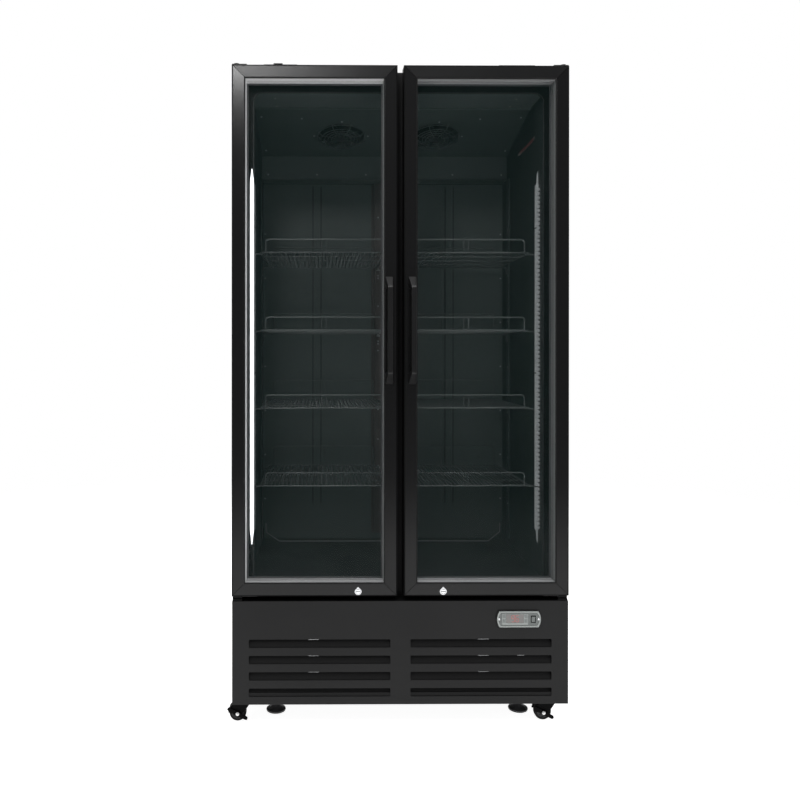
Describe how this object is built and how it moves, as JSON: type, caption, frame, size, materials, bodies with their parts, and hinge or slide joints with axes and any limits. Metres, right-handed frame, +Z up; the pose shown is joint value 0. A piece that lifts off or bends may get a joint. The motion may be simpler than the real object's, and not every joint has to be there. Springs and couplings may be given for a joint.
{
  "type": "glass door merchandiser",
  "caption": "Upright black display refrigerator with double glass doors, wire shelves, side lights, a slotted base panel with a controller, levelling feet and swivel casters.",
  "frame": {"origin": "on the floor, under the middle of the whole object, handles and casters included", "axes": "+Z up, the doors face -Y, +X to the right as seen from the front"},
  "size_m": [1.0366, 0.745, 1.978],
  "materials": {
    "black_steel": "satin black powder coat",
    "black_aluminium": "satin black anodised door profile",
    "cabinet_liner": "dark grey coated sheet",
    "black_plastic": "moulded, fine grain",
    "tinted_glass": "double glazing, dark tint",
    "gasket_rubber": "soft matt",
    "bright_steel": "bright plated",
    "fin_aluminium": "mill finish fins",
    "light_lens": "milky diffuser",
    "grey_plastic": "clear-grey moulded bezel",
    "coated_wire": "dark plastic-coated wire",
    "caster_steel": "black coated pressed steel",
    "caster_tread": "hard black tread",
    "compressor_steel": "gloss black enamel"
  },
  "bodies": {
    "cabinet": {"side_panel_left": "black_steel", "side_panel_right": "black_steel", "insulated_wall_left": "cabinet_liner", "insulated_wall_right": "cabinet_liner", "insulated_roof": "black_steel", "insulated_floor": "cabinet_liner", "insulated_back": "black_steel", "front_frame": "black_plastic", "rear_duct_panel": "cabinet_liner", "rear_center_post": "cabinet_liner", "shelf_strip_left": "cabinet_liner", "shelf_strip_right": "cabinet_liner", "evaporator_cover": "cabinet_liner", "evaporator_coil": "fin_aluminium", "light_strip_left": "light_lens", "light_strip_right": "light_lens", "top_hinge_left": "black_steel", "top_hinge_right": "black_steel", "bottom_hinge_left": "black_steel", "bottom_hinge_right": "black_steel", "front_panel": "black_steel", "rear_grille": "black_steel", "base_tray": "black_steel", "controller": "grey_plastic", "condenser": "fin_aluminium", "compressor": "compressor_steel"},
    "door_left": {"door_frame_left": "black_aluminium", "door_glass_left": "tinted_glass", "door_gasket_left": "gasket_rubber", "door_handle_left": "black_plastic"},
    "door_right": {"door_frame_right": "black_aluminium", "door_glass_right": "tinted_glass", "door_gasket_right": "gasket_rubber", "door_handle_right": "black_plastic"},
    "lock_left": {"door_lock_left": "bright_steel"},
    "lock_right": {"door_lock_right": "bright_steel"},
    "shelf_left_1": {"shelf_left_1": "coated_wire"},
    "shelf_left_2": {"shelf_left_2": "coated_wire"},
    "shelf_left_3": {"shelf_left_3": "coated_wire"},
    "shelf_left_4": {"shelf_left_4": "coated_wire"},
    "shelf_right_1": {"shelf_right_1": "coated_wire"},
    "shelf_right_2": {"shelf_right_2": "coated_wire"},
    "shelf_right_3": {"shelf_right_3": "coated_wire"},
    "shelf_right_4": {"shelf_right_4": "coated_wire"},
    "caster_front_left": {"caster_fork_front_left": "caster_steel"},
    "wheel_front_left": {"caster_wheel_front_left": "caster_tread"},
    "caster_front_right": {"caster_fork_front_right": "caster_steel"},
    "wheel_front_right": {"caster_wheel_front_right": "caster_tread"},
    "caster_rear_left": {"caster_fork_rear_left": "caster_steel"},
    "wheel_rear_left": {"caster_wheel_rear_left": "caster_tread"},
    "caster_rear_right": {"caster_fork_rear_right": "caster_steel"},
    "wheel_rear_right": {"caster_wheel_rear_right": "caster_tread"},
    "brake_front_left": {"brake_pedal_front_left": "black_plastic"},
    "brake_front_right": {"brake_pedal_front_right": "black_plastic"},
    "evaporator_fan_left": {"evaporator_fan_left": "black_plastic"},
    "evaporator_fan_right": {"evaporator_fan_right": "black_plastic"},
    "condenser_fan": {"condenser_fan": "black_plastic"},
    "light_switch": {"light_switch": "black_plastic"},
    "levelling_foot_left": {"levelling_foot_left": "black_plastic"},
    "levelling_foot_right": {"levelling_foot_right": "black_plastic"}
  },
  "joints": [
    {"name": "door_left_hinge", "type": "hinge", "parent": "cabinet", "child": "door_left", "pos_m": [-0.4875, -0.3045, 1.183], "axis": [0, 0, -1], "range_deg": [0, 110], "stiffness_Nm_per_rad": 1.5},
    {"name": "door_right_hinge", "type": "hinge", "parent": "cabinet", "child": "door_right", "pos_m": [0.4875, -0.3045, 1.183], "axis": [0, 0, 1], "range_deg": [0, 110], "stiffness_Nm_per_rad": 1.5},
    {"name": "lock_left_turn", "type": "hinge", "parent": "door_left", "child": "lock_left", "pos_m": [-0.126, -0.3275, 0.412], "axis": [0, 1, 0], "range_deg": [0, 90]},
    {"name": "lock_right_turn", "type": "hinge", "parent": "door_right", "child": "lock_right", "pos_m": [0.126, -0.3275, 0.412], "axis": [0, 1, 0], "range_deg": [0, 90]},
    {"name": "shelf_left_1_lift", "type": "slide", "parent": "cabinet", "child": "shelf_left_1", "axis": [0, 0, 1], "range_m": [0, 0.03]},
    {"name": "shelf_left_2_lift", "type": "slide", "parent": "cabinet", "child": "shelf_left_2", "axis": [0, 0, 1], "range_m": [0, 0.03]},
    {"name": "shelf_left_3_lift", "type": "slide", "parent": "cabinet", "child": "shelf_left_3", "axis": [0, 0, 1], "range_m": [0, 0.03]},
    {"name": "shelf_left_4_lift", "type": "slide", "parent": "cabinet", "child": "shelf_left_4", "axis": [0, 0, 1], "range_m": [0, 0.03]},
    {"name": "shelf_right_1_lift", "type": "slide", "parent": "cabinet", "child": "shelf_right_1", "axis": [0, 0, 1], "range_m": [0, 0.03]},
    {"name": "shelf_right_2_lift", "type": "slide", "parent": "cabinet", "child": "shelf_right_2", "axis": [0, 0, 1], "range_m": [0, 0.03]},
    {"name": "shelf_right_3_lift", "type": "slide", "parent": "cabinet", "child": "shelf_right_3", "axis": [0, 0, 1], "range_m": [0, 0.03]},
    {"name": "shelf_right_4_lift", "type": "slide", "parent": "cabinet", "child": "shelf_right_4", "axis": [0, 0, 1], "range_m": [0, 0.03]},
    {"name": "caster_front_left_swivel", "type": "hinge", "parent": "cabinet", "child": "caster_front_left", "pos_m": [-0.464, -0.2575, 0.06], "axis": [0, 0, 1], "continuous": true},
    {"name": "wheel_front_left_roll", "type": "hinge", "parent": "caster_front_left", "child": "wheel_front_left", "pos_m": [-0.488, -0.2575, 0.026], "axis": [0, 1, 0], "continuous": true},
    {"name": "caster_front_right_swivel", "type": "hinge", "parent": "cabinet", "child": "caster_front_right", "pos_m": [0.464, -0.2575, 0.06], "axis": [0, 0, 1], "continuous": true},
    {"name": "wheel_front_right_roll", "type": "hinge", "parent": "caster_front_right", "child": "wheel_front_right", "pos_m": [0.44, -0.2575, 0.026], "axis": [0, 1, 0], "continuous": true},
    {"name": "caster_rear_left_swivel", "type": "hinge", "parent": "cabinet", "child": "caster_rear_left", "pos_m": [-0.468, 0.3025, 0.06], "axis": [0, 0, 1], "continuous": true},
    {"name": "wheel_rear_left_roll", "type": "hinge", "parent": "caster_rear_left", "child": "wheel_rear_left", "pos_m": [-0.444, 0.3025, 0.026], "axis": [0, 1, 0], "continuous": true},
    {"name": "caster_rear_right_swivel", "type": "hinge", "parent": "cabinet", "child": "caster_rear_right", "pos_m": [0.468, 0.3025, 0.06], "axis": [0, 0, 1], "continuous": true},
    {"name": "wheel_rear_right_roll", "type": "hinge", "parent": "caster_rear_right", "child": "wheel_rear_right", "pos_m": [0.492, 0.3025, 0.026], "axis": [0, 1, 0], "continuous": true},
    {"name": "brake_front_left_press", "type": "hinge", "parent": "caster_front_left", "child": "brake_front_left", "pos_m": [-0.488, -0.2575, 0.026], "axis": [0, -1, 0], "range_deg": [0, 20]},
    {"name": "brake_front_right_press", "type": "hinge", "parent": "caster_front_right", "child": "brake_front_right", "pos_m": [0.44, -0.2575, 0.026], "axis": [0, -1, 0], "range_deg": [0, 20]},
    {"name": "evaporator_fan_left_spin", "type": "hinge", "parent": "cabinet", "child": "evaporator_fan_left", "pos_m": [-0.165, 0.09438, 1.88663], "axis": [0, -0.235, -0.972], "continuous": true},
    {"name": "evaporator_fan_right_spin", "type": "hinge", "parent": "cabinet", "child": "evaporator_fan_right", "pos_m": [0.165, 0.09438, 1.88663], "axis": [0, -0.235, -0.972], "continuous": true},
    {"name": "condenser_fan_spin", "type": "hinge", "parent": "cabinet", "child": "condenser_fan", "pos_m": [-0.26, -0.1775, 0.219], "axis": [0, 1, 0], "continuous": true},
    {"name": "light_switch_rock", "type": "hinge", "parent": "cabinet", "child": "light_switch", "pos_m": [0.394, -0.3245, 0.328], "axis": [-1, 0, 0], "range_deg": [0, 16]},
    {"name": "levelling_foot_left_screw", "type": "slide", "parent": "cabinet", "child": "levelling_foot_left", "axis": [0, 0, -1], "range_m": [0, 0.024]},
    {"name": "levelling_foot_right_screw", "type": "slide", "parent": "cabinet", "child": "levelling_foot_right", "axis": [0, 0, -1], "range_m": [0, 0.016]}
  ]
}
